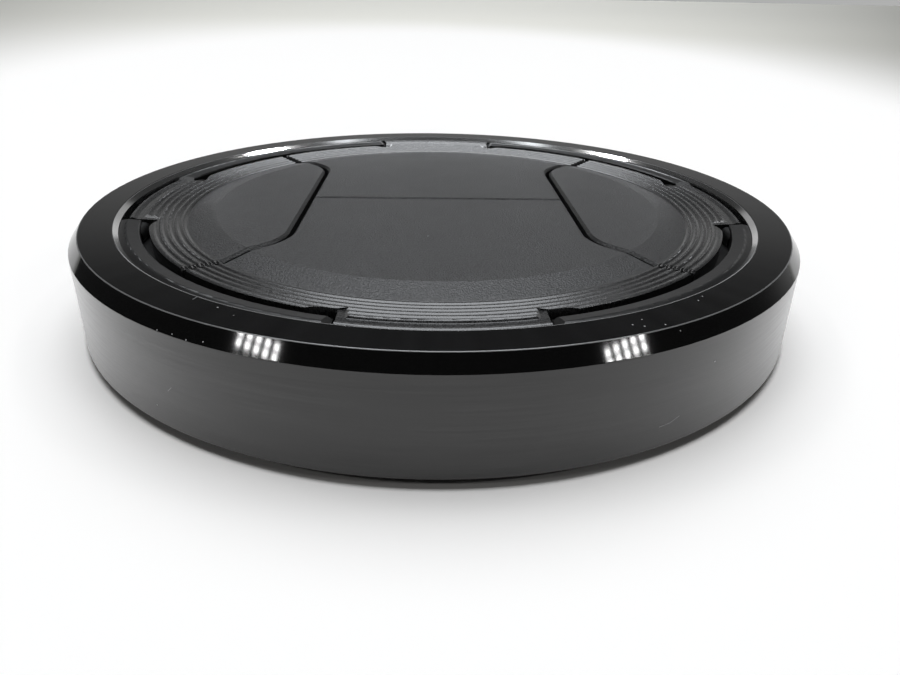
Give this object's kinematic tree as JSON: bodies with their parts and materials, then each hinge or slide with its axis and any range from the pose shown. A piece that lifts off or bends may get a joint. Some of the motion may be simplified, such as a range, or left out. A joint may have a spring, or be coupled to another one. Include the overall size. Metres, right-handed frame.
{
  "type": "self-opening lens cap",
  "caption": "Round black lens cap: a chamfered metal ring holds sprung, ridged plastic leaves that a lens barrel pushes open, on a bayonet ring that fits the lens rim.",
  "frame": {"origin": "on the axis of the cap, in the plane of the mount ring's foot, which the cap stands on", "axes": "+Z along the cap's axis towards the leaves, -Y towards the front leaf's hinge"},
  "size_m": [0.0566, 0.0566, 0.0076],
  "materials": {
    "ring_metal": "black anodised, satin wall and glossy chamfer",
    "frame_plastic": "fine moulded grain",
    "leaf_plastic": "fine moulded grain",
    "mount_plastic": "moulded, smooth",
    "pin_steel": "ground",
    "spring_steel": "drawn wire",
    "screw_steel": "blackened"
  },
  "bodies": {
    "cap_body": {"outer_ring": "ring_metal", "hinge_frame": "frame_plastic", "mount_ring": "mount_plastic", "mount_screws": "screw_steel", "front_hinge_pin": "pin_steel", "front_spring_left": "spring_steel", "front_spring_right": "spring_steel", "right_hinge_pin": "pin_steel", "right_spring_left": "spring_steel", "right_spring_right": "spring_steel", "rear_hinge_pin": "pin_steel", "rear_spring_left": "spring_steel", "rear_spring_right": "spring_steel", "left_hinge_pin": "pin_steel", "left_spring_left": "spring_steel", "left_spring_right": "spring_steel"},
    "front_leaf": {"front_leaf": "leaf_plastic"},
    "right_leaf": {"right_leaf": "leaf_plastic"},
    "rear_leaf": {"rear_leaf": "leaf_plastic"},
    "left_leaf": {"left_leaf": "leaf_plastic"}
  },
  "joints": [
    {"name": "front_leaf_hinge", "type": "hinge", "parent": "cap_body", "child": "front_leaf", "pos_m": [0, -0.0226, 0.0063], "axis": [1, 0, 0], "range_deg": [0, 90], "stiffness_Nm_per_rad": 0.0004, "springref_deg": -68.75, "deforming": ["front_spring_left", "front_spring_right"]},
    {"name": "right_leaf_hinge", "type": "hinge", "parent": "cap_body", "child": "right_leaf", "pos_m": [0.0226, 0, 0.0063], "axis": [0, 1, 0], "range_deg": [0, 90], "stiffness_Nm_per_rad": 0.0004, "springref_deg": -68.75, "deforming": ["right_spring_left", "right_spring_right"]},
    {"name": "rear_leaf_hinge", "type": "hinge", "parent": "cap_body", "child": "rear_leaf", "pos_m": [0, 0.0226, 0.0063], "axis": [-1, 0, 0], "range_deg": [0, 90], "stiffness_Nm_per_rad": 0.0004, "springref_deg": -68.75, "deforming": ["rear_spring_left", "rear_spring_right"]},
    {"name": "left_leaf_hinge", "type": "hinge", "parent": "cap_body", "child": "left_leaf", "pos_m": [-0.0226, 0, 0.0063], "axis": [0, -1, 0], "range_deg": [0, 90], "stiffness_Nm_per_rad": 0.0004, "springref_deg": -68.75, "deforming": ["left_spring_left", "left_spring_right"]}
  ]
}
